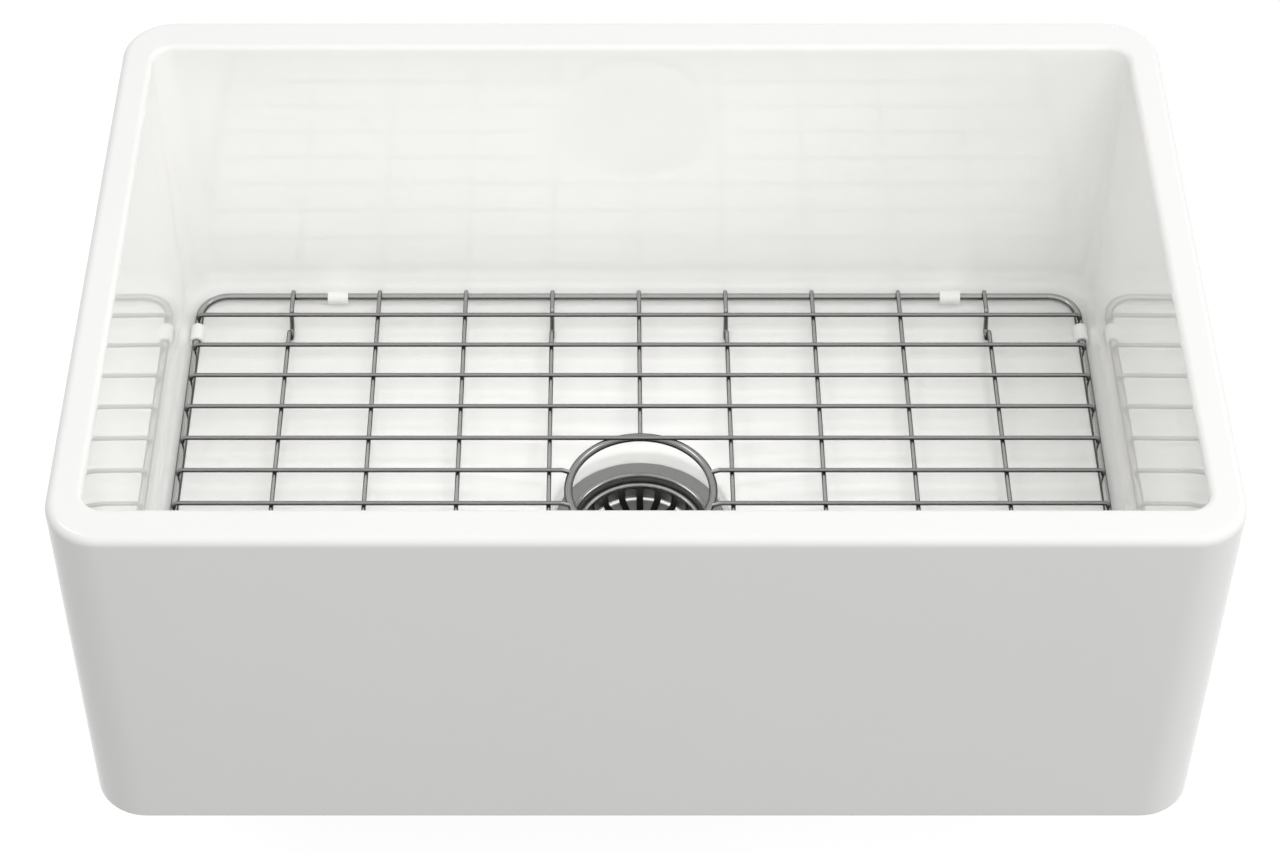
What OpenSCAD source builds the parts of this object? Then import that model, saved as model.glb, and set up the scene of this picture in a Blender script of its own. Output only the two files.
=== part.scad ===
// Apron-front kitchen sink in glazed fireclay, with a wire grid in its bowl and a
// basket strainer in its drain. The origin is the middle of the footprint on the
// plane of the foot. X runs to the right, Y to the back and Z up.

/* [Sink body] */
// Width of the sink, left to right
sink_w = 673; // [640:1:760]
// Depth of the sink, apron face to back
sink_d = 457; // [440:1:520]
// Height of the sink
sink_h = 254; // [235:1:280]
// Width of the rim at the left and right
rim_side = 20.5; // [18:0.5:24]
// Width of the rim at the apron front
rim_front = 25; // [21:0.5:30]
// Width of the rim at the back
rim_back = 28; // [22:0.5:34]
// Radius of the outer upright corners
outer_corner_r = 33; // [24:1:40]
// Radius of the bowl's upright corners at the rim
bowl_corner_r = 13; // [9:1:20]
// Rounding of the rim's outer edge
rim_edge_r = 5.5; // [3:0.5:8]
// Rounding of the rim's inner edge
mouth_r = 3.5; // [2:0.5:5]
// Rounding of the bottom edge
base_edge_r = 2; // [1:0.5:4]
// Lean of the bowl's walls from upright, in degrees
wall_draft = 0.5; // [0.3:0.1:1.5]
// Height of the bowl's floor above the foot, at the walls
floor_h = 34; // [33:1:40]
// Radius between the walls and the floor
floor_fillet_r = 25; // [20:1:28]
// Width of the foot round the underside
foot_w = 40; // [30:1:60]
// Height of the underside panel above the foot
foot_rise = 2; // [1:0.5:3]

/* [Drain recess] */
// Radius of the drain hole
drain_hole_r = 46; // [45.6:0.1:46.5]
// Outer radius of the dished part of the floor
dish_r = 160; // [140:1:161]
// Fall of the dished floor down to the lip of the recess
dish_fall = 8; // [6:0.5:9]
// Depth of the recess from its lip to the strainer's seat
recess_depth = 15; // [13:0.5:15.5]
// Gap round the strainer's flange in the recess
recess_gap = 2.1; // [1:0.1:3]
// Rounding of the recess's lip
recess_edge_r = 6.5; // [4:0.5:9]

/* [Wire grid] */
// Diameter of the frame wire and the drain ring wire
frame_wire_d = 5.5; // [5:0.1:6.2]
// Diameter of the thin wires
thin_wire_d = 3; // [2.6:0.1:3.4]
// How far the wires sink into each other where they are welded
weld_sink = 0.3; // [0.2:0.05:0.5]
// From the bowl's mouth in to the frame wire's centre, left and right
frame_side_gap = 12.6; // [12.4:0.1:20]
// From the bowl's mouth in to the frame wire's centre, front and back
frame_end_gap = 17.1; // [15:0.1:24]
// Bend radius of the frame's corners, at the wire's centre
frame_corner_r = 19; // [14:1:26]
// Pitch of the long wires, which run front to back
long_pitch = 60; // [56:0.5:64]
// Pitch of the cross wires, which run left to right
cross_pitch = 29.2; // [27:0.1:32]
// Least gap between the frame and the first cross wire, front and back
cross_margin = 20; // [15:1:26]
// Radius of the drain ring, at the wire's centre
ring_r = 47.4; // [47:0.1:48.5]
// How far the ring's centre lies below the long wires' centre
ring_drop = 0.6; // [0.2:0.1:1.2]
// How far the cross wires bend down to where they end on the ring
ring_weld_drop = 2; // [1.5:0.1:2.5]
// Bend radius of the turned-down ends of the cross wires
hook_bend_r = 3.2; // [2.5:0.1:3.2]
// How far the feet reach below the wires that they are bent from
foot_drop = 13.3; // [11:0.1:18]
// Length of the flat under each foot, before its bends
foot_flat = 7.6; // [5:0.1:9]
// Run of each sloping side of a foot
foot_slope_run = 6.4; // [5:0.1:9]
// Bend radius of the feet
foot_bend_r = 3; // [2.5:0.1:3.5]
// From the frame to the start of each foot
foot_inset = 17.5; // [14:0.1:20]
// How far the long wires reach past the frame wire's centre
wire_overhang = 2.6; // [1.5:0.1:3.5]
// Gap between the feet and the floor
foot_gap = 0.3; // [0.2:0.05:0.5]

/* [Bumpers] */
// Length of a bumper
bumper_len = 14; // [12:0.5:15]
// Outer diameter of a bumper
bumper_d = 9.3; // [8.5:0.1:10]
// Gap between a bumper's bore and the frame wire
bumper_gap = 0.3; // [0.2:0.1:0.7]
// From the first cross wire to the centre of a side bumper
side_bumper_inset = 13.2; // [10:0.1:17]
// From the outermost long wire in to the centre of a left end bumper
left_bumper_inset = 31; // [22:0.5:34]
// From the outermost long wire in to the centre of a right end bumper
right_bumper_inset = 24; // [22:0.5:34]

/* [Strainer body] */
// Radius of the flange
flange_r = 57.15; // [55:0.05:59]
// Thickness of the flange's sheet
flange_t = 1.5; // [1:0.1:2]
// Inner radius of the throat below the flange
throat_r = 44; // [43.7:0.05:44.3]
// Radius of the bead's round section
bead_r = 2.3; // [2:0.1:2.6]
// How far the bead's centre lies below the flange's top
bead_sink = 1.5; // [1:0.1:1.9]
// Depth of the throat from the flange's top to the basket's ledge
throat_depth = 7; // [6:0.1:8]
// Inner radius of the cup
cup_r = 40.8; // [40.6:0.05:41]
// Thickness of the cup's wall
cup_t = 1.2; // [1:0.1:1.6]
// Depth of the cup from the ledge to its bottom
cup_depth = 44.5; // [44:0.5:50]
// Radius of the outlet's bore
outlet_r = 17.5; // [16:0.1:18.5]
// Outer radius of the outlet's thread
outlet_thread_r = 23.4; // [22.5:0.1:24.5]
// Length of the outlet below the cup
outlet_len = 18; // [17:0.5:26]
// Thickness of the seal under the flange
seal_t = 1; // [0.5:0.1:1.5]

/* [Clamping parts] */
// Thickness of the rubber gasket under the sink
gasket_t = 3; // [2:0.5:4]
// Thickness of the friction washer
washer_t = 1; // [0.8:0.1:2]
// Height of the locknut
locknut_h = 12; // [8:0.5:13]
// Width of the locknut's ring
locknut_w = 8.5; // [7:0.5:11]
// Number of lugs on the locknut
locknut_lugs = 8; // [4:1:10]
// Radial gap in the threads
thread_gap = 0.05; // [0.03:0.01:0.1]

/* [Basket] */
// Gap between the basket's rim and the throat
rim_gap = 0.7; // [0.4:0.1:1]
// Width of the basket's rim
basket_rim_w = 3.6; // [3.2:0.1:4.2]
// Height of the basket's rim
basket_rim_h = 3; // [2.6:0.1:3.6]
// Gap between the basket and its ledge
basket_seat_gap = 0.3; // [0.2:0.05:0.5]
// Thickness of the basket's sheet
basket_t = 0.9; // [0.8:0.1:1.2]
// Depth of the basket below its rim
basket_depth = 9.5; // [8.5:0.1:11]
// Radius of the round between the basket's wall and its flat bottom, inside
basket_corner_r = 3; // [2.2:0.1:3.6]
// Number of slots round the basket
slot_count = 20; // [12:1:24]
// Width of a slot
slot_w = 4.6; // [3.5:0.1:5]
// Radius from which the slots run outwards over the basket's bottom
slot_in_r = 24; // [22.5:0.5:28]

/* [Stopper] */
// Radius of the stopper's post
post_r = 3; // [2.6:0.1:3.4]
// Radial gap where the post slides
post_gap = 0.06; // [0.03:0.01:0.1]
// Radius of the rubber stopper
stopper_r = 21; // [20:0.5:23]
// Thickness of the rubber stopper
stopper_t = 4.7; // [4:0.1:5.5]
// Gap between the stopper and its seat, when closed
stopper_seat_gap = 0.3; // [0.2:0.05:0.5]
// Radius of the knob
knob_r = 9.5; // [8:0.5:12]
// Height of the knob
knob_h = 13; // [10:0.5:16]
// Height of the knob's top above the basket's rim
knob_rise = 7.7; // [5:0.1:9]

/* [Tailpiece] */
// Outer radius of the tailpiece, the size that a trap takes
tail_r = 19.05; // [19.05:0.05:19.3]
// Wall of the tailpiece
tail_t = 0.85; // [0.7:0.05:1.2]
// Length of the tailpiece below its flange
tail_len = 102; // [76:1:152]
// Height of the coupling nut
coupling_h = 17; // [16:0.5:20]

/* [Hidden] */
// Number of sides where a whole round is drawn
round_fn = 96;
// Number of sides of a thin round wire
wire_fn = 32;
// Number of sides of a round inside a hull
hull_fn = 32;
// Overlap by which a cutter passes a surface
cut = 1;
// Overlap of solids that are joined into one piece
lap = 10;
// A bend is drawn this much thicker than its wire, and the wire runs this far into it
bend_swell = 0.006;
bend_lap = 0.1;
// Gap of a push fit, such as a post in a knob or a rivet in its hole
fit_gap = 0.02;
rivet_gap = 0.05;
// Bevel or rounding of small edges
edge = 0.5;

// Bowl: the mouth is where the upright wall meets the rim's inner rounding
mouth_z = sink_h - mouth_r;
mouth_root = mouth_r;
bowl_half_w = sink_w / 2 - rim_side;
bowl_front = -sink_d / 2 + rim_front;
bowl_back = sink_d / 2 - rim_back;
bowl_half_d = (bowl_back - bowl_front) / 2;
drain_y = (bowl_back + bowl_front) / 2;
fillet_z = floor_h + floor_fillet_r;
draft_in = (mouth_z - fillet_z) * tan(wall_draft);

// Drain recess
lip_z = floor_h - dish_fall;
seat_z = lip_z - recess_depth;
recess_r = flange_r + recess_gap;
lip_r = recess_r + recess_edge_r;
// The cutter's rim outside the dish, where it rises clear of the floor
dish_clear_w = 8;
dish_clear_h = 0.4;

// Strainer heights
flange_under = seat_z + seal_t;
flange_top = flange_under + flange_t;
bead_z = flange_top - bead_sink;
bead_centre_r = throat_r + bead_r;
ledge_z = flange_top - throat_depth;
thread_r = cup_r + cup_t;
throat_outer_r = throat_r + cup_t;
taper_top = ledge_z - 3;
taper_bottom = ledge_z - 6;
seal_inset = 1;
cup_bottom = ledge_z - cup_depth;
cup_bottom_t = 2;
cup_under = cup_bottom - cup_bottom_t;
cup_shoulder = 8;
spud_neck_r = outlet_r + 2.5;
outlet_end = cup_under - outlet_len;
hub_top = cup_bottom - 5;
hub_h = 5;
hub_r = 6;
spoke_w = 2.5;
spoke_count = 4;

// Clamping stack, downwards from the underside of the sink
clay_under = foot_rise;
gasket_bottom = clay_under - gasket_t;
washer_bottom = gasket_bottom - washer_t;
locknut_bottom = washer_bottom - locknut_h;
gasket_in_r = throat_outer_r + 0.3;
gasket_out_r = gasket_in_r + 11;
lug_out = 5;
lug_w = 10;
lug_step = 1;
locknut_flange_t = 2.5;

// Basket
basket_rim_r = throat_r - rim_gap;
basket_rim_z = ledge_z + basket_seat_gap;
basket_wall_gap = 0.5;
basket_wall_draft = 0.4;
basket_top_r = cup_r - basket_wall_gap;
basket_bottom = basket_rim_z - basket_depth;
basket_floor = basket_bottom + basket_t;
corner_mid_r = basket_top_r - basket_wall_draft - basket_t - basket_corner_r;
corner_mid_z = basket_floor + basket_corner_r;
bush_r = 4;
bush_flange_r = 7.5;
bush_flange_t = 2.5;
bush_lip_r = 6;
bush_lip_t = 1;
bush_top = basket_floor + bush_flange_t;
clip_t = 0.6;
clip_r = 6.5;
clip_slots = 4;
clip_slot_w = 0.8;
clip_slot_r = 4.7;
slot_top = basket_rim_z + 1.4;
slot_out_r = basket_top_r + 0.3;
// Rings of holes in the basket's bottom: how many, and on what radius
hole_rings = [[8, 12], [14, 18.5]];
hole_r = 2;

// Stopper, closed
stopper_bottom = cup_bottom + stopper_seat_gap;
stopper_top = stopper_bottom + stopper_t;
post_shoulder_t = 1.5;
post_shoulder_r = 5;
stopper_nut_r = 6;
stopper_nut_t = 3.2;
post_bottom = hub_top - hub_h - 2;
knob_top = basket_rim_z + basket_rim_h + knob_rise;
knob_bottom = knob_top - knob_h;
post_top = knob_bottom + 6;
knob_dome = 4;
knob_base = 3;
knob_shoulder = 4;
skirt_t = 1.2;
skirt_rise = 2.6;
skirt_run = 3;
skirt_lift = 0.6;
stopper_hub_r = 10;

// Tailpiece
tail_flange_r = outlet_thread_r - 0.6;
tail_flange_t = 1.6;
tail_washer_t = 2;
tail_washer_gap = 0.2;
coupling_gap = 0.4;
tail_flange_top = outlet_end - tail_washer_t;
tail_end = tail_flange_top - tail_flange_t - tail_len;
coupling_lip = 4;
coupling_r = outlet_thread_r + 6.6;
coupling_bottom = tail_flange_top - tail_flange_t - 0.3 - coupling_lip;
tail_neck_r = tail_r - 0.15;
tail_neck_bottom = coupling_bottom - 1;

// Grid
frame_r = frame_wire_d / 2;
thin_r = thin_wire_d / 2;
frame_half_w = bowl_half_w - frame_side_gap;
frame_half_d = bowl_half_d - frame_end_gap;
foot_z = floor_h + foot_gap + thin_r;
long_z = foot_z + foot_drop;
frame_z = long_z - thin_r - frame_r + weld_sink;
cross_z = long_z + 2 * thin_r - weld_sink;
weld_z = frame_z + frame_r - weld_sink;
ring_z = long_z - ring_drop;
long_half = frame_half_d + wire_overhang;
long_side_count = floor((frame_half_w - frame_corner_r) / long_pitch);
foot_wire_places = [1, long_side_count];
cross_count = floor(2 * (frame_half_d - cross_margin) / cross_pitch) + 1;
cross_half = (cross_count - 1) / 2;
bumper_bore_r = frame_r + bumper_gap;
// How far short of the ring's centre line a cross wire ends, and the run of its bend down
ring_inset = 1.5;
ring_step = 5;
end_bumper_x = [left_bumper_inset - long_side_count * long_pitch,
                long_side_count * long_pitch - right_bumper_inset];
side_bumper_y = cross_half * cross_pitch - side_bumper_inset;

// Distance of cross wire i behind the drain's centre
function cross_y(i) = (cross_half - i) * cross_pitch;

// Half the chord of the drain ring at the distance y from its centre
function ring_chord(y) = sqrt(max(0, ring_r * ring_r - y * y));

// Points on an arc round [x, y], from angle a to angle b in n steps
function arc(x, y, r, a, b, n) =
    [for (i = [0:n]) [x + r * cos(a + (b - a) * i / n), y + r * sin(a + (b - a) * i / n)]];

// Points on a part of an ellipse round [x, y]
function oval(x, y, rx, ry, a, b, n) =
    [for (i = [0:n]) [x + rx * cos(a + (b - a) * i / n), y + ry * sin(a + (b - a) * i / n)]];

// Section of the sink's outer part, from the face inwards, with its two rounded edges
module outer_section() {
    difference() {
        square([2 * lap, sink_h]);
        difference() {
            translate([-cut, sink_h - rim_edge_r]) square([rim_edge_r + cut, rim_edge_r + cut]);
            translate([rim_edge_r, sink_h - rim_edge_r]) circle(r = rim_edge_r, $fn = round_fn);
        }
        difference() {
            translate([-cut, -cut]) square([base_edge_r + cut, base_edge_r + cut]);
            translate([base_edge_r, base_edge_r]) circle(r = base_edge_r, $fn = round_fn);
        }
    }
}

// A section swept round a rounded rectangle, its x = 0 on the outline and its body inside
module swept_ring(half_w, half_d, corner_r) {
    in_w = half_w - corner_r;
    in_d = half_d - corner_r;
    for (s = [0, 180])
        rotate([0, 0, s]) {
            translate([-in_w, half_d, 0]) rotate([90, 0, 90])
                linear_extrude(2 * in_w) mirror([1, 0]) children();
            translate([half_w, in_d, 0]) rotate([90, 0, 0])
                linear_extrude(2 * in_d) mirror([1, 0]) children();
            for (side = [0, 1])
                translate([side == 0 ? in_w : -in_w, in_d, 0]) rotate([0, 0, side * 90])
                    rotate_extrude(angle = 90, $fn = round_fn)
                        translate([corner_r, 0]) mirror([1, 0]) children();
        }
}

// The sink's outside as a solid block
module outer_block() {
    swept_ring(sink_w / 2, sink_d / 2, outer_corner_r) outer_section();
    rounded_block(sink_w / 2 - lap, sink_d / 2 - lap, outer_corner_r - lap, 0, sink_h);
}

// Upright block with rounded corners
module rounded_block(half_w, half_d, r, z0, z1) {
    translate([0, 0, z0]) linear_extrude(z1 - z0) {
        square([2 * (half_w - r), 2 * half_d], center = true);
        square([2 * half_w, 2 * (half_d - r)], center = true);
        for (x = [-1, 1], y = [-1, 1])
            translate([x * (half_w - r), y * (half_d - r)]) circle(r = r, $fn = round_fn);
    }
}

// The bowl: leaning walls, upright corners that widen downwards, rounded into the floor
module bowl_space() {
    ball_r = floor_fillet_r / cos(180 / hull_fn);
    hull()
        for (x = [-1, 1], y = [-1, 1]) {
            translate([x * (bowl_half_w - draft_in - floor_fillet_r),
                       y * (bowl_half_d - draft_in - floor_fillet_r), fillet_z])
                sphere(r = ball_r, $fn = hull_fn);
            translate([x * (bowl_half_w - bowl_corner_r), y * (bowl_half_d - bowl_corner_r), mouth_z - cut])
                cylinder(r = bowl_corner_r, h = 2 * cut, $fn = hull_fn);
        }
}

// Section of the rim's rounded inner edge, with a root that reaches into the rim
module mouth_section() {
    intersection() {
        translate([mouth_root, 0]) circle(r = mouth_r, $fn = round_fn);
        translate([mouth_root, 0]) square([mouth_r, mouth_r]);
    }
    translate([0, -mouth_root]) square([mouth_root, mouth_root + mouth_r]);
    translate([0, -mouth_root]) square([mouth_root + mouth_r / 2, mouth_root]);
}

// The rim's rounded inner edge, laid in the square step that the mouth is cut with
module mouth_bead() {
    out = mouth_r + mouth_root;
    translate([0, 0, mouth_z])
        swept_ring(bowl_half_w + out, bowl_half_d + out, bowl_corner_r + out) mouth_section();
}

// Everything round that is cut at the drain: dished floor, recess, seat and hole
module drain_space() {
    steps = 10;
    slope_run = dish_r - lip_r;
    dish = [for (i = [0:steps]) let (s = i / steps)
        [lip_r + slope_run * s, floor_h - dish_fall * pow(1 - s, 2)]];
    lip = arc(lip_r, lip_z - recess_edge_r, recess_edge_r, 180, 90, 8);
    rotate_extrude($fn = round_fn)
        polygon(concat(
            [[0, -cut], [drain_hole_r, -cut], [drain_hole_r, seat_z], [recess_r, seat_z]],
            lip,
            [for (i = [1:steps]) dish[i]],
            [[dish_r + dish_clear_w, floor_h + dish_clear_h], [dish_r + dish_clear_w, fillet_z],
             [0, fillet_z]]
        ));
}

module sink_body() {
    color("white")
        difference() {
            union() {
                difference() {
                    outer_block();
                    translate([0, drain_y, 0]) bowl_space();
                    translate([0, drain_y, 0])
                        rounded_block(bowl_half_w + mouth_r, bowl_half_d + mouth_r,
                                      bowl_corner_r + mouth_r, mouth_z, sink_h + cut);
                }
                translate([0, drain_y, 0]) mouth_bead();
            }
            translate([0, drain_y, 0]) drain_space();
            rounded_block(sink_w / 2 - foot_w, sink_d / 2 - foot_w, outer_corner_r, -cut, foot_rise);
        }
}

// Places its children on the drain's axis
module at_drain() {
    translate([0, drain_y, 0]) children();
}

// Flat ring between two radii and two heights
module ring_plate(r_in, r_out, z0, z1) {
    translate([0, 0, z0])
        rotate_extrude($fn = round_fn) translate([r_in, 0]) square([r_out - r_in, z1 - z0]);
}

// Pressed cup with its flange, bead, ledge and thread, and a hole for the outlet
module strainer_body() {
    bead_start = asin((flange_top - bead_z) / bead_r);
    bead = arc(bead_centre_r, bead_z, bead_r, bead_start, 180, 10);
    shoulder_r = cup_r - cup_shoulder;
    shoulder_z = cup_bottom + cup_shoulder;
    hole_r = spud_neck_r + thread_gap;
    color("silver") at_drain() rotate_extrude($fn = round_fn)
        polygon(concat(
            [[throat_outer_r, flange_under], [flange_r - edge, flange_under],
             [flange_r, flange_under + edge], [flange_r, flange_top - edge], [flange_r - edge, flange_top]],
            bead,
            [[throat_r, ledge_z], [cup_r, ledge_z]],
            arc(shoulder_r, shoulder_z, cup_shoulder, 0, -90, 6),
            [[hole_r, cup_bottom], [hole_r, cup_under]],
            oval(shoulder_r, shoulder_z, cup_shoulder + cup_t, cup_shoulder + cup_bottom_t, -90, 0, 6),
            [[thread_r, taper_bottom], [throat_outer_r, taper_top]]
        ));
}

// Threaded outlet, rolled into the cup's bottom, with the cross that guides the post
module outlet_spud() {
    color("silver") at_drain() {
        rotate_extrude($fn = round_fn)
            polygon([
                [outlet_r, cup_bottom], [outlet_r, outlet_end], [outlet_thread_r, outlet_end],
                [outlet_thread_r, cup_under], [spud_neck_r, cup_under], [spud_neck_r, cup_bottom]
            ]);
        difference() {
            union() {
                translate([0, 0, hub_top - hub_h]) cylinder(r = hub_r, h = hub_h, $fn = round_fn);
                for (i = [0:spoke_count - 1])
                    rotate([0, 0, 45 + i * 360 / spoke_count])
                        translate([0, -spoke_w / 2, hub_top - hub_h])
                            cube([outlet_r + edge, spoke_w, hub_h]);
            }
            translate([0, 0, hub_top - hub_h - cut])
                cylinder(r = post_r + post_gap, h = hub_h + 2 * cut, $fn = round_fn);
        }
    }
}

module flange_seal() {
    color("whitesmoke") at_drain()
        ring_plate(drain_hole_r + seal_inset, flange_r - seal_inset, seat_z, flange_under);
}

module sink_gasket() {
    color("dimgray") at_drain() ring_plate(gasket_in_r, gasket_out_r, gasket_bottom, clay_under);
}

module friction_washer() {
    color("tan") at_drain()
        ring_plate(gasket_in_r, gasket_out_r - seal_inset, washer_bottom, gasket_bottom);
}

// Threaded ring with lugs for a spanner
module locknut() {
    nut_in = thread_r + thread_gap;
    nut_out = nut_in + locknut_w;
    color("darkgray") at_drain() difference() {
        union() {
            translate([0, 0, locknut_bottom]) cylinder(r = nut_out, h = locknut_h, $fn = round_fn);
            translate([0, 0, washer_bottom - locknut_flange_t])
                cylinder(r = nut_out + lug_out, h = locknut_flange_t, $fn = round_fn);
            for (i = [0:locknut_lugs - 1])
                rotate([0, 0, i * 360 / locknut_lugs])
                    translate([nut_out - lug_step, -lug_w / 2, locknut_bottom])
                        cube([lug_out, lug_w, locknut_h - lug_step]);
        }
        translate([0, 0, locknut_bottom - cut])
            cylinder(r = nut_in, h = locknut_h + 2 * cut, $fn = round_fn);
    }
}

module tailpiece_washer() {
    color("white") at_drain()
        ring_plate(outlet_r + tail_washer_gap, tail_flange_r, tail_flange_top, outlet_end);
}

// Flanged tube, drawn in a little where the coupling nut turns on it
module tailpiece() {
    color("silver") at_drain() rotate_extrude($fn = round_fn)
        polygon([
            [tail_r - tail_t, tail_flange_top], [tail_flange_r, tail_flange_top],
            [tail_flange_r, tail_flange_top - tail_flange_t],
            [tail_neck_r, tail_flange_top - tail_flange_t],
            [tail_neck_r, tail_neck_bottom], [tail_r, tail_neck_bottom - edge],
            [tail_r, tail_end], [tail_r - tail_t, tail_end]
        ]);
}

// Eight-sided nut with a lip that lifts the tailpiece's flange
module coupling_nut() {
    color("silver") at_drain() difference() {
        translate([0, 0, coupling_bottom]) rotate([0, 0, 22.5])
            cylinder(r = coupling_r, h = coupling_h, $fn = 8);
        translate([0, 0, coupling_bottom + coupling_lip])
            cylinder(r = outlet_thread_r + thread_gap, h = coupling_h, $fn = round_fn);
        translate([0, 0, coupling_bottom - cut])
            cylinder(r = tail_r + coupling_gap, h = coupling_lip + 2 * cut, $fn = round_fn);
    }
}

// One slot, down the basket's wall from just under its rim and in over its bottom, with round ends
module basket_slot() {
    rotate([90, 0, 90]) translate([0, 0, corner_mid_r])
        linear_extrude(slot_out_r - corner_mid_r) {
            translate([-slot_w / 2, basket_bottom - cut])
                square([slot_w, slot_top - slot_w / 2 - basket_bottom + cut]);
            translate([0, slot_top - slot_w / 2]) circle(r = slot_w / 2, $fn = wire_fn);
        }
    translate([0, 0, basket_bottom - cut])
        linear_extrude(basket_t + 2 * cut) {
            translate([slot_in_r + slot_w / 2, -slot_w / 2])
                square([corner_mid_r + cut - slot_in_r - slot_w / 2, slot_w]);
            translate([slot_in_r + slot_w / 2, 0]) circle(r = slot_w / 2, $fn = wire_fn);
        }
}

// Round perforations in the basket's bottom, in two rings
module basket_holes() {
    for (row = hole_rings, i = [0:row[0] - 1])
        rotate([0, 0, i * 360 / row[0]]) translate([row[1], 0, basket_bottom - cut])
            cylinder(r = hole_r, h = basket_t + 2 * cut, $fn = wire_fn);
}

// Shallow slotted basket with a rolled rim and a flat bottom
module basket_cup() {
    rim_mid_r = basket_rim_r - basket_rim_w / 2;
    roll_z = basket_rim_z + basket_rim_h * 0.45;
    corner_out_r = basket_corner_r + basket_t;
    color("silver") at_drain() difference() {
        rotate_extrude($fn = round_fn)
            polygon(concat(
                [[basket_rim_r, basket_rim_z]],
                oval(rim_mid_r, roll_z, basket_rim_w / 2, basket_rim_h * 0.55, 0, 180, 8),
                [[basket_top_r - basket_t, basket_rim_z]],
                arc(corner_mid_r, corner_mid_z, basket_corner_r, 0, -90, 7),
                [[bush_r + rivet_gap, basket_floor], [bush_r + rivet_gap, basket_bottom]],
                arc(corner_mid_r, corner_mid_z, corner_out_r, -90, 0, 7),
                [[basket_top_r, basket_rim_z]]
            ));
        for (i = [0:slot_count - 1])
            rotate([0, 0, 90 + i * 360 / slot_count]) basket_slot();
        basket_holes();
    }
}

// Collar riveted in the basket's bottom, in which the post slides
module basket_bush() {
    color("goldenrod") at_drain() rotate_extrude($fn = round_fn)
        polygon([
            [post_r + post_gap, bush_top], [bush_flange_r, bush_top], [bush_flange_r, basket_floor],
            [bush_r, basket_floor], [bush_r, basket_bottom], [bush_lip_r, basket_bottom],
            [bush_lip_r, basket_bottom - bush_lip_t], [post_r + post_gap, basket_bottom - bush_lip_t]
        ]);
}

// Flat spring clip that grips the post
module post_clip() {
    color("lightsteelblue") at_drain() difference() {
        ring_plate(post_r + post_gap, clip_r, bush_top, bush_top + clip_t);
        for (i = [0:clip_slots - 1])
            rotate([0, 0, i * 360 / clip_slots])
                translate([0, -clip_slot_w / 2, bush_top - cut])
                    cube([clip_slot_r, clip_slot_w, clip_t + 2 * cut]);
    }
}

module stopper_post() {
    color("silver") at_drain() rotate_extrude($fn = round_fn)
        polygon([
            [0, post_bottom], [post_r - edge, post_bottom], [post_r, post_bottom + edge],
            [post_r, stopper_top], [post_shoulder_r, stopper_top],
            [post_shoulder_r, stopper_top + post_shoulder_t],
            [post_r, stopper_top + post_shoulder_t], [post_r, post_top], [0, post_top]
        ]);
}

// Turned knob with a waist and a domed top
module knob() {
    waist_r = knob_r * 0.55;
    foot_r = waist_r + 1;
    under_z = knob_top - knob_dome;
    color("gainsboro") at_drain() rotate_extrude($fn = round_fn)
        polygon(concat(
            [[post_r + fit_gap, knob_bottom], [foot_r, knob_bottom], [foot_r, knob_bottom + 1],
             [waist_r, knob_bottom + knob_base], [waist_r, under_z - knob_shoulder], [knob_r, under_z - 1]],
            oval(0, under_z, knob_r, knob_dome, 0, 90, 8),
            [[0, post_top], [post_r + fit_gap, post_top]]
        ));
}

// Rubber disc with a skirt that closes the outlet
module rubber_stopper() {
    color("dimgray") at_drain() rotate_extrude($fn = round_fn)
        polygon([
            [post_r + fit_gap, stopper_bottom + skirt_lift], [outlet_r - 2, stopper_bottom + skirt_lift],
            [outlet_r - 1, stopper_bottom], [stopper_r, stopper_bottom],
            [stopper_r, stopper_bottom + skirt_t],
            [stopper_r - skirt_run, stopper_bottom + skirt_rise],
            [stopper_hub_r, stopper_top], [post_r + fit_gap, stopper_top]
        ]);
}

module stopper_nut() {
    color("silver") at_drain() difference() {
        translate([0, 0, stopper_bottom + skirt_lift - stopper_nut_t])
            cylinder(r = stopper_nut_r, h = stopper_nut_t, $fn = 6);
        translate([0, 0, stopper_bottom - stopper_nut_t - cut])
            cylinder(r = post_r + fit_gap, h = stopper_nut_t + 3 * cut, $fn = round_fn);
    }
}

// Angle of the line from a to b
function heading(a, b) = atan2(b[1] - a[1], b[0] - a[0]);

// Turn at point i of a path, counted anticlockwise, from -180 to 180 degrees
function turn_at(path, i) =
    let (t = heading(path[i], path[i + 1]) - heading(path[i - 1], path[i]))
    t > 180 ? t - 360 : (t < -180 ? t + 360 : t);

// How far a bend reaches along the lines on both sides of point i
function bend_reach(path, i, bend_r) =
    (i == 0 || i == len(path) - 1) ? 0 : bend_r * tan(abs(turn_at(path, i)) / 2);

// Straight wire up the Z axis, with its ends rounded or flat
module straight_wire(len, r, tip_start, tip_end) {
    z0 = tip_start ? r : 0;
    z1 = tip_end ? len - r : len;
    rotate_extrude($fn = wire_fn) {
        translate([0, z0]) square([r, z1 - z0]);
        intersection() {
            union() {
                if (tip_start) translate([0, z0]) circle(r = r, $fn = wire_fn);
                if (tip_end) translate([0, z1]) circle(r = r, $fn = wire_fn);
            }
            square([r, len]);
        }
    }
}

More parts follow.
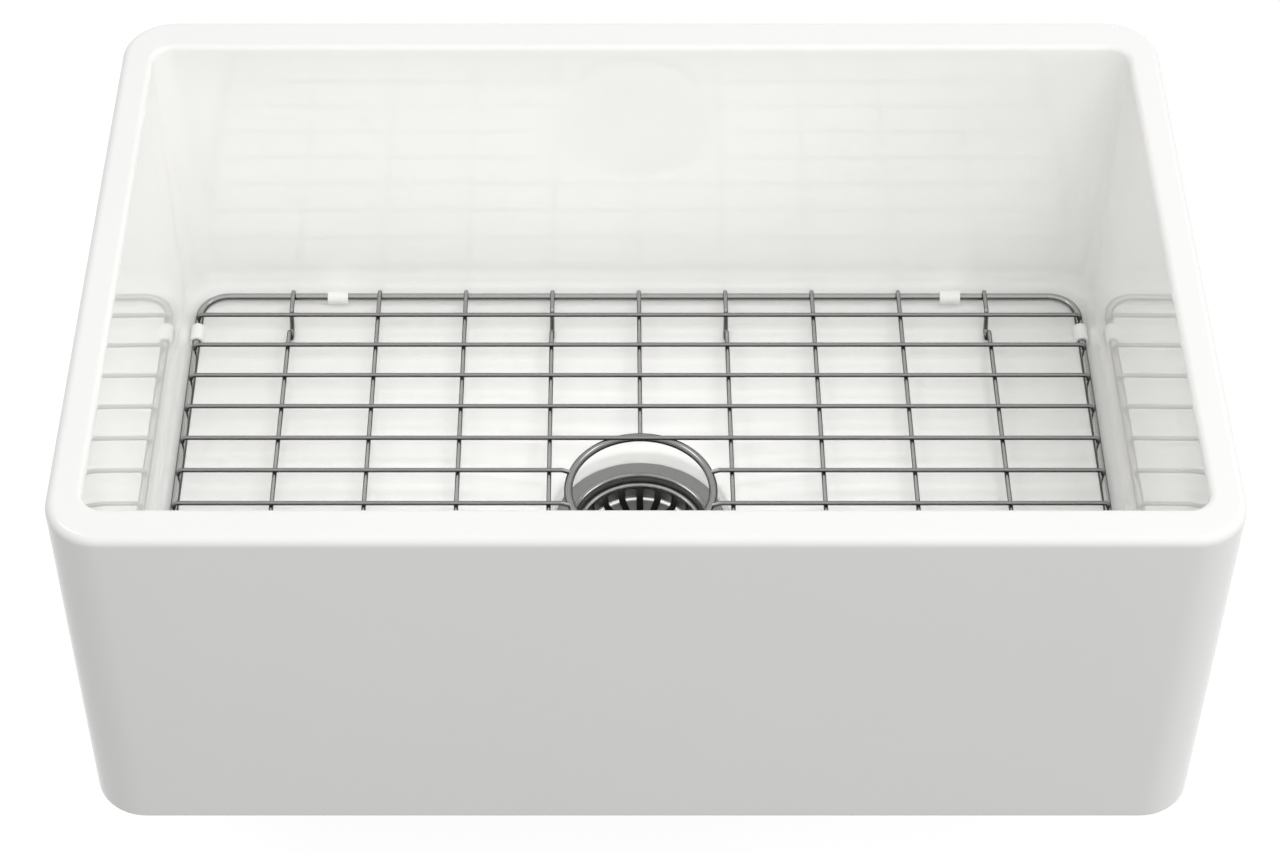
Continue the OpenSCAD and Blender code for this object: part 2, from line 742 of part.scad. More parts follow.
// A wire bent along a path of points in the plane of X and Y, with true round bends
module flat_bent_wire(path, bend_r, r, tips) {
    last = len(path) - 2;
    for (i = [0:last]) {
        a = heading(path[i], path[i + 1]);
        lap_start = i == 0 ? 0 : bend_lap;
        lap_end = i == last ? 0 : bend_lap;
        skip = bend_reach(path, i, bend_r) - lap_start;
        run = norm(path[i + 1] - path[i]) - skip - bend_reach(path, i + 1, bend_r) + lap_end;
        translate([path[i][0] + skip * cos(a), path[i][1] + skip * sin(a), 0]) rotate([0, 90, a])
            straight_wire(run, r, tips && i == 0, tips && i == last);
    }
    for (i = [1:last]) {
        a = heading(path[i - 1], path[i]);
        t = turn_at(path, i);
        side = t > 0 ? 1 : -1;
        reach = bend_reach(path, i, bend_r);
        translate([path[i][0] - reach * cos(a) - side * bend_r * sin(a),
                   path[i][1] - reach * sin(a) + side * bend_r * cos(a), 0])
            rotate([0, 0, side > 0 ? a - 90 : a + 90 + t])
                rotate_extrude(angle = abs(t), $fn = wire_fn)
                    translate([bend_r, 0]) circle(r = r + bend_swell, $fn = wire_fn);
    }
}

// The same wire stood up, its path in the plane of X and Z at the distance y
module across_wire(y, path) {
    translate([0, y, 0]) rotate([90, 0, 0]) flat_bent_wire(path, hook_bend_r, thin_r, false);
}

// Outer wire of the grid, a rounded rectangle
module grid_frame() {
    straight_w = frame_half_w - frame_corner_r;
    straight_d = frame_half_d - frame_corner_r;
    color("darkgray") at_drain() translate([0, 0, frame_z])
        for (s = [0, 180])
            rotate([0, 0, s]) {
                translate([-straight_w, frame_half_d, 0]) rotate([0, 90, 0])
                    cylinder(r = frame_r, h = 2 * straight_w, $fn = wire_fn);
                translate([frame_half_w, straight_d, 0]) rotate([90, 0, 0])
                    cylinder(r = frame_r, h = 2 * straight_d, $fn = wire_fn);
                for (x = [-1, 1])
                    translate([x * straight_w, straight_d, 0]) rotate([0, 0, x > 0 ? 0 : 90])
                        rotate_extrude(angle = 90, $fn = round_fn)
                            translate([frame_corner_r, 0]) circle(r = frame_r, $fn = wire_fn);
            }
}

// Ring round the drain, just below the plane of the long wires
module drain_ring() {
    color("darkgray") at_drain() translate([0, 0, ring_z])
        rotate_extrude($fn = round_fn) translate([ring_r, 0]) circle(r = frame_r, $fn = wire_fn);
}

// Straight wires from front to back; the middle one stops on the drain ring
module long_wires() {
    plain = [for (i = [-long_side_count:long_side_count])
        if (i != 0 && len(search(abs(i), foot_wire_places)) == 0) i * long_pitch];
    color("darkgray") at_drain() {
        for (x = plain)
            translate([x, -long_half, long_z]) rotate([-90, 0, 0])
                straight_wire(2 * long_half, thin_r, true, true);
        for (s = [0, 180])
            rotate([0, 0, s]) translate([0, ring_r, long_z]) rotate([-90, 0, 0])
                straight_wire(long_half - ring_r, thin_r, false, true);
    }
}

// Long wires that are bent down near both ends into the feet that the grid stands on
module foot_wires() {
    a = frame_half_d - foot_inset;
    b = a - foot_slope_run;
    c = b - foot_flat;
    d = c - foot_slope_run;
    path = [
        [-long_half, long_z], [-a, long_z], [-b, foot_z], [-c, foot_z], [-d, long_z],
        [d, long_z], [c, foot_z], [b, foot_z], [a, long_z], [long_half, long_z]
    ];
    color("darkgray") at_drain()
        for (i = foot_wire_places, s = [-1, 1])
            translate([s * i * long_pitch, 0, 0]) rotate([90, 0, 90])
                flat_bent_wire(path, foot_bend_r, thin_r, true);
}

// Wires from left to right, turned down at their ends on to the frame; those that
// would cross the middle of the drain ring stop on it
module cross_wires() {
    end_x = frame_half_w;
    end_z = cross_z - ring_weld_drop;
    color("darkgray") at_drain()
        for (i = [0:cross_count - 1]) {
            y = cross_y(i);
            ring_x = ring_chord(y);
            if (abs(y) < ring_r - 2 * frame_r)
                for (s = [-1, 1])
                    across_wire(y, [[s * end_x, weld_z], [s * end_x, cross_z],
                                    [s * (ring_x + ring_inset + ring_step), cross_z],
                                    [s * (ring_x + ring_inset), end_z]]);
            else
                across_wire(y, [[-end_x, weld_z], [-end_x, cross_z], [end_x, cross_z], [end_x, weld_z]]);
        }
}

// Sleeve on the frame wire, along X
module bumper() {
    translate([-bumper_len / 2, 0, frame_z]) rotate([0, 90, 0]) difference() {
        cylinder(r = bumper_d / 2, h = bumper_len, $fn = round_fn);
        translate([0, 0, -cut]) cylinder(r = bumper_bore_r, h = bumper_len + 2 * cut, $fn = round_fn);
    }
}

module back_bumpers() {
    color("white") at_drain()
        for (x = end_bumper_x) translate([x, frame_half_d, 0]) bumper();
}

module front_bumpers() {
    color("white") at_drain()
        for (x = end_bumper_x) translate([x, -frame_half_d, 0]) bumper();
}

module side_bumpers() {
    color("white") at_drain()
        for (x = [-1, 1], y = [-1, 1])
            translate([x * frame_half_w, y * side_bumper_y, 0]) rotate([0, 0, 90]) bumper();
}

sink_body();
strainer_body();
outlet_spud();
flange_seal();
sink_gasket();
friction_washer();
locknut();
tailpiece_washer();
tailpiece();
coupling_nut();
basket_cup();
basket_bush();
post_clip();
stopper_post();
knob();
rubber_stopper();
stopper_nut();
grid_frame();
drain_ring();
long_wires();
foot_wires();
cross_wires();
back_bumpers();
side_bumpers();
front_bumpers();
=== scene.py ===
"""Looks of the apron-front kitchen sink: glaze, wire grid, strainer, lights and camera."""
import math

import bmesh
import bpy
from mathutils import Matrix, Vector


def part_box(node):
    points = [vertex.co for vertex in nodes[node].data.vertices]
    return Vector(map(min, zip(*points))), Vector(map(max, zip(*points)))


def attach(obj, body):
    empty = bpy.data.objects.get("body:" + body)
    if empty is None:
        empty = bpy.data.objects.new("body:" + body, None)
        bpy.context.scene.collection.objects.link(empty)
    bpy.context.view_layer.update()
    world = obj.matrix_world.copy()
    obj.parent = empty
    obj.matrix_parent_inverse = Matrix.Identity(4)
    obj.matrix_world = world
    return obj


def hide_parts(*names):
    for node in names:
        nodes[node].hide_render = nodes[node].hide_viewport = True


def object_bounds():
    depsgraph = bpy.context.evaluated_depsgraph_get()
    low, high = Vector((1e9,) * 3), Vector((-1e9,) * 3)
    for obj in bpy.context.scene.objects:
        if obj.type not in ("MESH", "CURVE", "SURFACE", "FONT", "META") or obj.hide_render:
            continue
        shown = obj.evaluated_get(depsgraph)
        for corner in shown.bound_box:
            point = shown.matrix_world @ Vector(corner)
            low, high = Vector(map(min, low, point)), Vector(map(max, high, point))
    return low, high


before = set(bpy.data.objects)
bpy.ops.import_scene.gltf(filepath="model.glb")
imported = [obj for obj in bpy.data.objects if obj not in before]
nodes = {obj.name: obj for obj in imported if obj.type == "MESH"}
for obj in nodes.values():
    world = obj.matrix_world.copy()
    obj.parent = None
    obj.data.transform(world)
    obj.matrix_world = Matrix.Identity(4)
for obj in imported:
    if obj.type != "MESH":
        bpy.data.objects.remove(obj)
cad_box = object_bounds()

MM = 0.001

# Camera, fitted to the photograph
CAMERA_PLACE = (-0.0206, -1.3325, 1.4993)
CAMERA_TILT = math.radians(43.73)
CAMERA_SENSOR = 36
CAMERA_LENS = 84.83
CAMERA_SHIFT = (0.02405, 0.0004)
CAMERA_REACH = 50

# Sink, in metres
SINK_LOW, SINK_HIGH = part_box("sink_body")
HALF_W = (SINK_HIGH.x - SINK_LOW.x) / 2
HALF_D = (SINK_HIGH.y - SINK_LOW.y) / 2
HEIGHT = SINK_HIGH.z - SINK_LOW.z
RIM_SIDE = 20.5 * MM
RIM_FRONT = 25 * MM
RIM_BACK = 28 * MM
OUTER_CORNER = 33 * MM
RIM_EDGE = 5.5 * MM
BASE_EDGE = 2 * MM
MOUTH_EDGE = 3.5 * MM
BOWL_CORNER = 13 * MM
FLOOR_Z = 34 * MM
FILLET = 25 * MM
DRAFT = math.radians(0.5)
DISH_R = 160 * MM
DISH_FALL = 8 * MM
RECESS_DEPTH = 15 * MM
RECESS_GAP = 2.1 * MM
LIP_EDGE = 6.5 * MM
FOOT_W = 40 * MM
FOOT_RISE = 2 * MM
HOLE_R = 46 * MM
FLANGE_LOW, FLANGE_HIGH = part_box("strainer_body")
FLANGE_R = (FLANGE_HIGH.x - FLANGE_LOW.x) / 2
RECESS_R = FLANGE_R + RECESS_GAP
LIP_R = RECESS_R + LIP_EDGE
DRAIN_Y = (RIM_FRONT - RIM_BACK) / 2

# Bowl, from the sizes above
BOWL_W = HALF_W - RIM_SIDE
BOWL_D = HALF_D - (RIM_FRONT + RIM_BACK) / 2
MOUTH_Z = HEIGHT - MOUTH_EDGE
FILLET_Z = FLOOR_Z + FILLET
DRAFT_IN = (MOUTH_Z - FILLET_Z) * math.tan(DRAFT)
LIP_Z = FLOOR_Z - DISH_FALL
SEAT_Z = LIP_Z - RECESS_DEPTH

# Mesh of the glaze: counts of steps, and where rings of faces lie between edges
CORNER_STEPS = 16
LONG_STEPS = 14
SHORT_STEPS = 10
BASE_STEPS = 6
RIM_STEPS = 10
MOUTH_STEPS = 8
FILLET_STEPS = 18
DISH_STEPS = 16
LIP_STEPS = 12
APRON_SHARES = (0.25, 0.5, 0.75)
RIM_SHARES = (0.08, 0.5, 0.92)
WALL_SHARES = (0.01, 0.15, 0.3, 0.45, 0.6, 0.75, 0.9, 0.985)
FLOOR_SHARES = (0.08, 0.4, 0.75)
UNDERSIDE_R = 90 * MM
# Distances of holding rings from their edges
NEAR = 0.5 * MM
HOLD = 1 * MM
FAR = 1.5 * MM
# Least corner radius of an outline, so that it keeps its count of points
SHARP_R = 0.05 * MM
WELD = 0.02 * MM

# Noises are pairs of scale and detail, and bumps are pairs of strength and distance.
# Where in its noise a blend of two colours starts and ends
BLEND_ENDS = (0.3, 0.7)

# Glaze
GLAZE_COLOURS = ((0.945, 0.943, 0.925), (0.953, 0.951, 0.936))
GLAZE_COLOUR_NOISE = (9, 3)
GLAZE_ROUGH = (0.006, 0.012)
GLAZE_ROUGH_NOISE = (40, 2)
GLAZE_IOR = 1.52
GLAZE_BUMP = (0.003, 2 * MM)
GLAZE_BUMP_NOISE = (26, 1)

# Steels: greys by facing, which paint shade, highlights and reflections by how each face turns,
# roughness by facing, grey of their grazing edge, and their nodes.
# Facing is the normal's Z, from -1 (down) to 1 (up).
EVEN = ((-1, 0.22), (1, 0.22))
# These greys paint shade and highlights by facing: darker undersides and lit tops of the wires, a
# painted reflection of the floor on the frame's underside, a painted bright crest on the
# strainer's bead, and a painted near-white highlight on the basket's inner slopes.
STEELS = {
    "long_steel": (
        ((-1, 0.12), (0, 0.14), (0.5, 0.24), (0.85, 0.42), (1, 0.42)),
        EVEN, 0.25, ("long_wires", "foot_wires"),
    ),
    "ring_steel": (
        ((-1, 0.12), (0, 0.14), (0.5, 0.24), (0.85, 0.32), (1, 0.3)),
        ((-1, 0.14), (1, 0.14)), 0.25, ("drain_ring",),
    ),
    "cross_steel": (
        ((-1, 0.08), (0, 0.1), (0.35, 0.13), (0.6, 0.28), (0.8, 0.35), (0.92, 0.32), (1, 0.28)),
        EVEN, 0.25, ("cross_wires",),
    ),
    "frame_steel": (
        ((-1, 0.8), (-0.35, 0.75), (0.1, 0.25), (0.5, 0.15),
         (0.68, 0.25), (0.8, 0.42), (0.9, 0.46), (1, 0.46)),
        ((-1, 0.17), (1, 0.17)), 0.3, ("grid_frame",),
    ),
    "strainer_steel": (
        ((-1, 0.3), (0, 0.35), (0.3, 0.3), (0.55, 0.15),
         (0.75, 0.12), (0.88, 0.3), (0.975, 0.42), (0.992, 0.32)),
        ((-1, 0.5), (0, 0.5), (0.3, 0.25), (0.6, 0.14), (0.97, 0.14), (0.995, 0.5)),
        1.0, ("strainer_body", "outlet_spud"),
    ),
    "basket_steel": (
        ((-1, 0.2), (0, 0.4), (0.15, 0.55), (0.3, 0.95), (0.85, 0.95), (0.95, 0.4), (0.992, 0.24)),
        ((-1, 0.45), (0, 0.45), (0.25, 0.15), (0.97, 0.15), (0.995, 0.45)),
        1.0, ("basket_cup", "post_clip", "stopper_post", "knob", "stopper_nut"),
    ),
}
# Greys by facing for the basket's rim above this height: painted shade and highlights.
BASKET_RIM_PAINTED_GREYS = ((-1, 0.2), (0, 0.25), (0.5, 0.4), (0.85, 0.42), (1, 0.36))
BASKET_RIM_Z = 6.2 * MM
STEEL_BUMP = (0.03, 0.2 * MM)
STEEL_BUMP_NOISE = (600, 3)
# Blue of a steel's grey, as a share of its red and green
STEEL_BLUE = 0.99

# Other materials: two colours, range of roughness, scale of the noise, strength of the
# bumps, metal or not, and their nodes
MOTTLED = {
    "nut_zinc": ((0.4, 0.4, 0.41), (0.5, 0.5, 0.5), (0.35, 0.5), 300, 0.2, True, ("locknut",)),
    "tube_chrome": (
        (0.7, 0.7, 0.7), (0.75, 0.75, 0.75), (0.08, 0.14), 200, 0.02, True,
        ("tailpiece", "coupling_nut"),
    ),
    "bush_brass": (
        (0.6, 0.44, 0.2), (0.7, 0.52, 0.25), (0.2, 0.3), 300, 0.05, True, ("basket_bush",),
    ),
    "bumper_rubber": (
        (0.9, 0.9, 0.88), (0.93, 0.93, 0.915), (0.4, 0.5), 500, 0.05, False,
        ("back_bumpers", "side_bumpers", "front_bumpers"),
    ),
    "black_rubber": (
        (0.03, 0.03, 0.03), (0.045, 0.045, 0.045), (0.5, 0.65), 700, 0.1, False,
        ("sink_gasket", "rubber_stopper"),
    ),
    "seal_white": (
        (0.78, 0.78, 0.75), (0.84, 0.84, 0.82), (0.5, 0.6), 400, 0.1, False,
        ("flange_seal", "tailpiece_washer"),
    ),
    "fibre": (
        (0.45, 0.32, 0.18), (0.52, 0.4, 0.25), (0.7, 0.85), 900, 0.2, False,
        ("friction_washer",),
    ),
}
MOTTLE_DETAIL = 4
METAL_BUMP_DISTANCE = 0.2 * MM
SOFT_BUMP_DISTANCE = 0.3 * MM

# Surroundings
WORLD_LEVEL = 0.47
GROUND_HALF = 6.0
GROUND_DROP = 0.5 * MM
GROUND_GREY = (0.2, 0.2, 0.2, 1)
GROUND_GLOW = 0.9
WHITE = (1, 1, 1, 1)

# Lamps: name, place, aim, size, watts, and whether reflections show them
CENTRE = (0, 0, 0.1)
DRAIN = (0, DRAIN_Y, 0)
LAMPS = (
    ("key_light", (0.6, -2.0, 3.6), CENTRE, (3.0, 2.4), 57, False),
    ("front_light", (0.3, -4.0, 1.4), CENTRE, (2.4, 1.6), 13, False),
    ("right_light", (4.0, -0.8, 1.6), CENTRE, (1.6, 2.0), 38, False),
    ("bowl_light", (0.0, -0.19, 0.18), (0, 0.11, 0.03), (0.5, 0.04), 0.18, False),
    ("floor_light", (0.0, DRAIN_Y, 0.235), DRAIN, (0.3, 0.26), 0.08, False),
    ("drain_light", (0.0, DRAIN_Y, 0.046), DRAIN, (0.05, 0.05), 0.025, False),
    ("rear_light", (-0.5, 4.0, 1.2), CENTRE, (2.4, 1.6), 22, False),
    ("left_glint", (-1.5, 0.55, 2.5), CENTRE, (0.9, 0.9), 7, True),
    ("right_glint", (1.5, 0.55, 2.5), CENTRE, (0.9, 0.9), 7, True),
)


def make_camera():
    data = bpy.data.cameras.new("camera")
    data.sensor_width = CAMERA_SENSOR
    data.lens = CAMERA_LENS
    data.shift_x, data.shift_y = CAMERA_SHIFT
    data.clip_end = CAMERA_REACH
    camera = bpy.data.objects.new("camera", data)
    camera.location = CAMERA_PLACE
    camera.rotation_euler = (CAMERA_TILT, 0, 0)
    bpy.context.scene.collection.objects.link(camera)
    bpy.context.scene.camera = camera


# Node helpers for materials
def new_material(name):
    material = bpy.data.materials.new(name)
    material.use_nodes = True
    tree = material.node_tree
    return material, tree, tree.nodes["Principled BSDF"]


def add_node(tree, kind, **values):
    node = tree.nodes.new(kind)
    for key, value in values.items():
        setattr(node, key, value)
    return node


def noise(tree, scale, detail):
    """Noise in object space; returns its value socket."""
    place = add_node(tree, "ShaderNodeTexCoord")
    texture = add_node(tree, "ShaderNodeTexNoise")
    texture.inputs["Scale"].default_value = scale
    texture.inputs["Detail"].default_value = detail
    tree.links.new(place.outputs["Object"], texture.inputs["Vector"])
    return texture.outputs["Fac"]


def spread(tree, fac, low, high):
    """Maps a 0 to 1 value to the range low to high."""
    mapped = add_node(tree, "ShaderNodeMapRange")
    mapped.inputs["To Min"].default_value = low
    mapped.inputs["To Max"].default_value = high
    tree.links.new(fac, mapped.inputs["Value"])
    return mapped.outputs["Result"]


def blend_colours(tree, fac, first, second):
    """Goes from the first to the second colour over the middle of a 0 to 1 value."""
    ramp = add_node(tree, "ShaderNodeValToRGB")
    for element, place, colour in zip(ramp.color_ramp.elements, BLEND_ENDS, (first, second)):
        element.position = place
        element.color = (*colour, 1)
    tree.links.new(fac, ramp.inputs["Fac"])
    return ramp.outputs["Color"]


def bump(tree, shader, fac, strength, distance):
    node = add_node(tree, "ShaderNodeBump")
    node.inputs["Strength"].default_value = strength
    node.inputs["Distance"].default_value = distance
    tree.links.new(fac, node.inputs["Height"])
    tree.links.new(node.outputs["Normal"], shader.inputs["Normal"])


def facing_ramp(tree, stops):
    """A value by the normal's Z: the stops are pairs of Z and either the grey, which paints shade
    and highlights, or the roughness.
    """
    ramp = add_node(tree, "ShaderNodeValToRGB")
    elements = ramp.color_ramp.elements
    while len(elements) < len(stops):
        elements.new(0.5)
    for element, (z, value) in zip(elements, stops):
        element.position = (z + 1) / 2
        element.color = (value, value, value * STEEL_BLUE, 1)
    geometry = add_node(tree, "ShaderNodeNewGeometry")
    parts = add_node(tree, "ShaderNodeSeparateXYZ")
    tree.links.new(geometry.outputs["Normal"], parts.inputs["Vector"])
    mapped = add_node(tree, "ShaderNodeMapRange")
    mapped.inputs["From Min"].default_value = -1
    tree.links.new(parts.outputs["Z"], mapped.inputs["Value"])
    tree.links.new(mapped.outputs["Result"], ramp.inputs["Fac"])
    return ramp.outputs["Color"]


def glaze_material():
    material, tree, shader = new_material("white_glaze")
    colour = blend_colours(tree, noise(tree, *GLAZE_COLOUR_NOISE), *GLAZE_COLOURS)
    tree.links.new(colour, shader.inputs["Base Color"])
    shader.inputs["IOR"].default_value = GLAZE_IOR
    rough = spread(tree, noise(tree, *GLAZE_ROUGH_NOISE), *GLAZE_ROUGH)
    tree.links.new(rough, shader.inputs["Roughness"])
    bump(tree, shader, noise(tree, *GLAZE_BUMP_NOISE), *GLAZE_BUMP)
    return material


def steel_material(name, painted_greys, rough, edge=1.0):
    """Steel with its greys by facing, which paint its shade and highlights, and its roughness by
    facing; edge darkens its grazing angles.
    """
    material, tree, shader = new_material(name)
    tree.links.new(facing_ramp(tree, painted_greys), shader.inputs["Base Color"])
    tree.links.new(facing_ramp(tree, rough), shader.inputs["Roughness"])
    shader.inputs["Metallic"].default_value = 1
    shader.inputs["Specular Tint"].default_value = (edge, edge, edge, 1)
    bump(tree, shader, noise(tree, *STEEL_BUMP_NOISE), *STEEL_BUMP)
    return material


def mottled_material(name, first, second, rough, scale, strength, metal):
    """Fine mottle in the colour, the roughness and the bumps."""
    material, tree, shader = new_material(name)
    mottle = noise(tree, scale, MOTTLE_DETAIL)
    tree.links.new(blend_colours(tree, mottle, first, second), shader.inputs["Base Color"])
    tree.links.new(spread(tree, mottle, *rough), shader.inputs["Roughness"])
    shader.inputs["Metallic"].default_value = 1 if metal else 0
    bump(tree, shader, mottle, strength, METAL_BUMP_DISTANCE if metal else SOFT_BUMP_DISTANCE)
    return material


# Outlines of the glaze, each a list of points
def rounded_outline(half_w, half_d, corner, y0):
    """Points round a rounded rectangle, anticlockwise, always as many and in the same order."""
    points = []
    w, d = half_w - corner, half_d - corner
    sides = (
        (w, d, 0, LONG_STEPS), (-w, d, 90, SHORT_STEPS),
        (-w, -d, 180, LONG_STEPS), (w, -d, 270, SHORT_STEPS),
    )
    for i, (cx, cy, start, steps) in enumerate(sides):
        for k in range(CORNER_STEPS + 1):
            a = math.radians(start + 90 * k / CORNER_STEPS)
            points.append((cx + corner * math.cos(a), y0 + cy + corner * math.sin(a)))
        nx, ny = sides[(i + 1) % 4][:2]
        a = math.radians(start + 90)
        first = (cx + corner * math.cos(a), y0 + cy + corner * math.sin(a))
        last = (nx + corner * math.cos(a), y0 + ny + corner * math.sin(a))
        points += [between_points(first, last, k / steps) for k in range(1, steps)]
    return points


def between_points(a, b, t):
    return (a[0] + (b[0] - a[0]) * t, a[1] + (b[1] - a[1]) * t)


def between(first, second, t):
    return [between_points(a, b, t) for a, b in zip(first, second)]


def drain_outline(radius, like):
    """Points on a circle round the drain, in the directions of the points of another outline."""
    points = []
    for x, y in like:
        a = math.atan2(y - DRAIN_Y, x)
        points.append((radius * math.cos(a), DRAIN_Y + radius * math.sin(a)))
    return points


# Rings of the glaze: outlines with their heights
def outer_ring(inset, corner, z):
    return rounded_outline(HALF_W - inset, HALF_D - inset, corner, 0), z


def bowl_ring(inset, corner, z):
    return rounded_outline(BOWL_W - inset, BOWL_D - inset, corner, DRAIN_Y), z


def quarter_turn(steps, first=0):
    """Sine and cosine of each step from 0 to 90 degrees."""
    for k in range(first, steps + 1):
        a = math.radians(90 * k / steps)
        yield math.sin(a), math.cos(a)


def underside_rings():
    """From the drain hole, over the panel inside the foot, to the rounded edge of the base."""
    like = rounded_outline(HALF_W - FOOT_W, HALF_D - FOOT_W, OUTER_CORNER, 0)
    rings = [(drain_outline(r, like), FOOT_RISE) for r in (HOLE_R, HOLE_R + HOLD, UNDERSIDE_R)]
    rings += [
        outer_ring(FOOT_W + HOLD, OUTER_CORNER, FOOT_RISE),
        outer_ring(FOOT_W, OUTER_CORNER, FOOT_RISE),
        outer_ring(FOOT_W, OUTER_CORNER, 0),
        outer_ring(FOOT_W - NEAR, OUTER_CORNER, 0),
        outer_ring(BASE_EDGE + HOLD, OUTER_CORNER - BASE_EDGE - HOLD, 0),
    ]
    for sine, cosine in quarter_turn(BASE_STEPS):
        inset = BASE_EDGE * (1 - sine)
        rings.append(outer_ring(inset, OUTER_CORNER - inset, BASE_EDGE * (1 - cosine)))
    return rings


def outside_rings():
    """Up the apron and over the rim's outer edge."""
    heights = [BASE_EDGE + FAR, *(HEIGHT * t for t in APRON_SHARES), HEIGHT - RIM_EDGE - FAR]
    rings = [outer_ring(0, OUTER_CORNER, z) for z in heights]
    for sine, cosine in quarter_turn(RIM_STEPS):
        inset = RIM_EDGE * (1 - cosine)
        rings.append(outer_ring(inset, OUTER_CORNER - inset, HEIGHT - RIM_EDGE * (1 - sine)))
    return rings


def wall_rings():
    """Across the rim, over its inner edge and down the bowl's wall into the floor."""
    rim_outer = outer_ring(RIM_EDGE, OUTER_CORNER - RIM_EDGE, HEIGHT)[0]
    rim_inner = bowl_ring(-MOUTH_EDGE, BOWL_CORNER + MOUTH_EDGE, HEIGHT)[0]
    rings = [(between(rim_outer, rim_inner, t), HEIGHT) for t in RIM_SHARES]
    for sine, cosine in quarter_turn(MOUTH_STEPS):
        inset = MOUTH_EDGE * sine - MOUTH_EDGE
        rings.append(bowl_ring(inset, BOWL_CORNER - inset, MOUTH_Z + MOUTH_EDGE * cosine))
    for t in WALL_SHARES:
        corner = BOWL_CORNER + (FILLET - BOWL_CORNER) * t
        rings.append(bowl_ring(DRAFT_IN * t, corner, MOUTH_Z + (FILLET_Z - MOUTH_Z) * t))
    for sine, cosine in quarter_turn(FILLET_STEPS):
        inset = DRAFT_IN + FILLET * (1 - cosine)
        rings.append(bowl_ring(inset, max(FILLET * cosine, SHARP_R), FILLET_Z - FILLET * sine))
    return rings


def floor_rings():
    """Floor, dish, lip, recess, seat of the strainer and drain hole."""
    edge = bowl_ring(DRAFT_IN + FILLET, SHARP_R, FLOOR_Z)[0]
    dish_edge = drain_outline(DISH_R, edge)
    rings = [(between(edge, dish_edge, t), FLOOR_Z) for t in FLOOR_SHARES]
    steps = []
    for k in range(DISH_STEPS + 1):
        s = 1 - k / DISH_STEPS
        steps.append((LIP_R + (DISH_R - LIP_R) * s, FLOOR_Z - DISH_FALL * (1 - s) ** 2))
    for sine, cosine in quarter_turn(LIP_STEPS, 1):
        steps.append((LIP_R - LIP_EDGE * sine, LIP_Z - LIP_EDGE * (1 - cosine)))
    steps += [
        (RECESS_R, SEAT_Z + HOLD),
        (RECESS_R, SEAT_Z),
        (RECESS_R - HOLD, SEAT_Z),
        (HOLE_R + NEAR, SEAT_Z),
        (HOLE_R, SEAT_Z),
        (HOLE_R, FOOT_RISE),
    ]
    return rings + [(drain_outline(radius, edge), z) for radius, z in steps]


def make_sink(material):
    """The sink's glaze, one closed skin through its rings."""
    bm = bmesh.new()
    rows = []
    for outline, z in underside_rings() + outside_rings() + wall_rings() + floor_rings():
        rows.append([bm.verts.new((x, y, z)) for x, y in outline])
    for lower, upper in zip(rows, rows[1:]):
        count = len(lower)
        for i in range(count):
            j = (i + 1) % count
            bm.faces.new((lower[i], lower[j], upper[j], upper[i]))
    bmesh.ops.remove_doubles(bm, verts=bm.verts, dist=WELD)
    bmesh.ops.recalc_face_normals(bm, faces=bm.faces)
    mesh = bpy.data.meshes.new("sink_glaze")
    bm.to_mesh(mesh)
    bm.free()
    mesh.materials.append(material)
    for polygon in mesh.polygons:
        polygon.use_smooth = True
    piece = bpy.data.objects.new("sink_glaze", mesh)
    bpy.context.scene.collection.objects.link(piece)
    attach(piece, "sink")
    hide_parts("sink_body")


def dress(material, names):
    """Gives CAD nodes their material."""
    for name in names:
        mesh = nodes[name].data
        mesh.materials.clear()
        mesh.materials.append(material)


def dress_above(material, name, z):
    """Gives a CAD node's faces above a height a second material."""
    piece = nodes[name]
    piece.data.materials.append(material)
    for polygon in piece.data.polygons:
        if (piece.matrix_world @ polygon.center).z > z:
            polygon.material_index = 1


# Lights and surroundings
def area_light(name, place, aim, size, power, glossy):
    data = bpy.data.lights.new(name, "AREA")
    data.shape = "RECTANGLE"
    data.size, data.size_y = size
    data.energy = power
    light = bpy.data.objects.new(name, data)
    light.location = place
    light.rotation_euler = (Vector(aim) - Vector(place)).to_track_quat("-Z", "Y").to_euler()
    light.visible_camera = False
    light.visible_glossy = glossy
    bpy.context.scene.collection.objects.link(light)


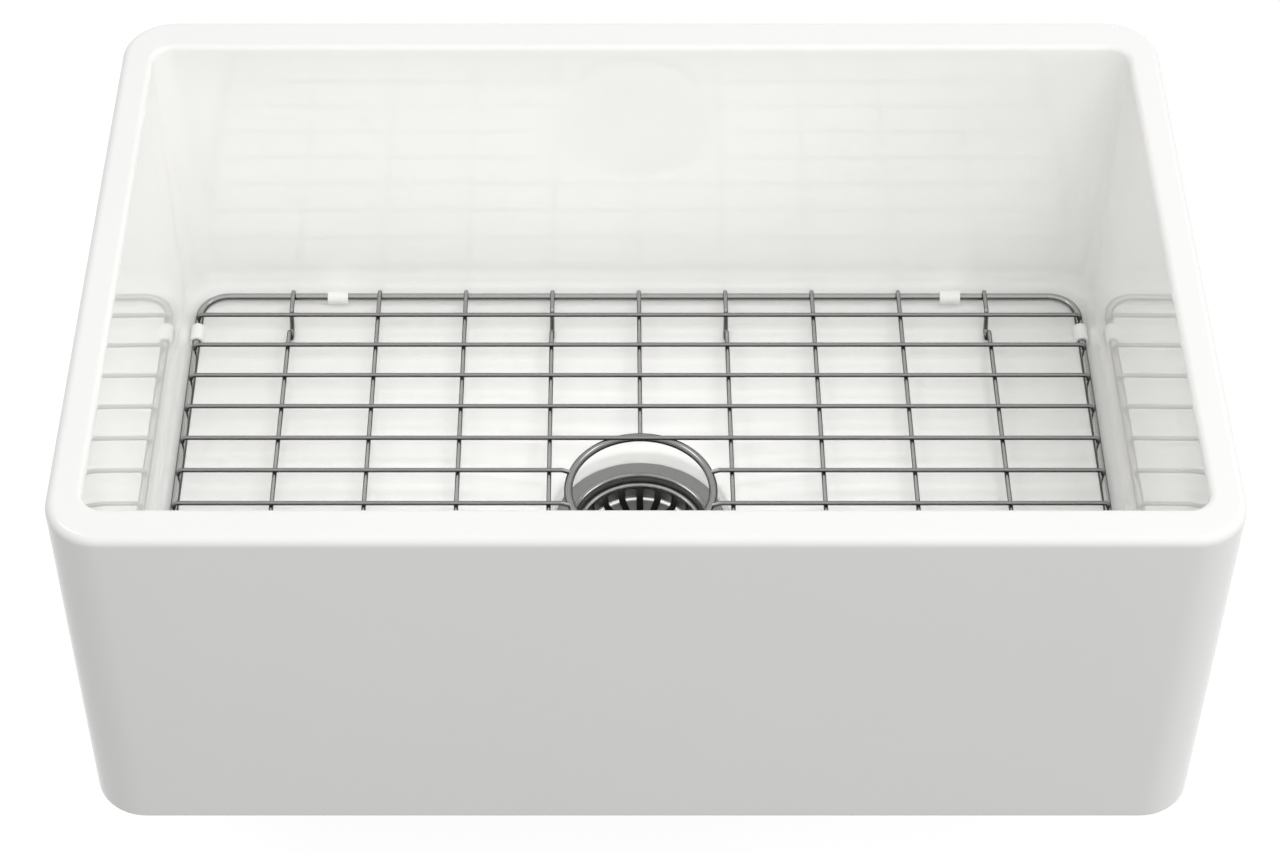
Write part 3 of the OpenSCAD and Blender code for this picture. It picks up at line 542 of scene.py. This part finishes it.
def seen_level(tree, hidden, seen):
    """One level for camera, glossy and transmission rays, and another for diffuse light."""
    path = add_node(tree, "ShaderNodeLightPath")
    level = path.outputs["Is Camera Ray"]
    for ray in ("Is Glossy Ray", "Is Transmission Ray"):
        either = add_node(tree, "ShaderNodeMath", operation="MAXIMUM")
        tree.links.new(level, either.inputs[0])
        tree.links.new(path.outputs[ray], either.inputs[1])
        level = either.outputs[0]
    return spread(tree, level, hidden, seen)


def make_world():
    """White where it is seen, and a plain level for diffuse light."""
    world = bpy.data.worlds.new("world")
    bpy.context.scene.world = world
    world.use_nodes = True
    tree = world.node_tree
    background = tree.nodes["Background"]
    background.inputs["Color"].default_value = WHITE
    tree.links.new(seen_level(tree, WORLD_LEVEL, 1.0), background.inputs["Strength"])


def make_floor(z):
    """White where it is seen, but for the object's shadow."""
    half = GROUND_HALF
    corners = [(-half, -half, z), (half, -half, z), (half, half, z), (-half, half, z)]
    mesh = bpy.data.meshes.new("floor")
    mesh.from_pydata(corners, [], [(0, 1, 2, 3)])
    floor = bpy.data.objects.new("floor", mesh)
    bpy.context.scene.collection.objects.link(floor)
    material, tree, shader = new_material("floor")
    shader.inputs["Base Color"].default_value = GROUND_GREY
    shader.inputs["Roughness"].default_value = 1
    shader.inputs["Specular IOR Level"].default_value = 0
    shader.inputs["Emission Color"].default_value = WHITE
    tree.links.new(seen_level(tree, 0.0, GROUND_GLOW), shader.inputs["Emission Strength"])
    mesh.materials.append(material)


make_camera()

make_sink(glaze_material())
# Steels get greys by facing, which are painted shade and highlights; the basket's rim gets its
# own.
for name, (painted_greys, rough, edge, names) in STEELS.items():
    dress(steel_material(name, painted_greys, rough, edge), names)
dress_above(steel_material("basket_rim_steel", BASKET_RIM_PAINTED_GREYS, EVEN), "basket_cup", BASKET_RIM_Z)
for name, (*values, names) in MOTTLED.items():
    dress(mottled_material(name, *values), names)

make_world()
make_floor(cad_box[0].z - GROUND_DROP)
for lamp in LAMPS:
    area_light(*lamp)

scene = bpy.context.scene
scene.view_settings.view_transform = "Standard"
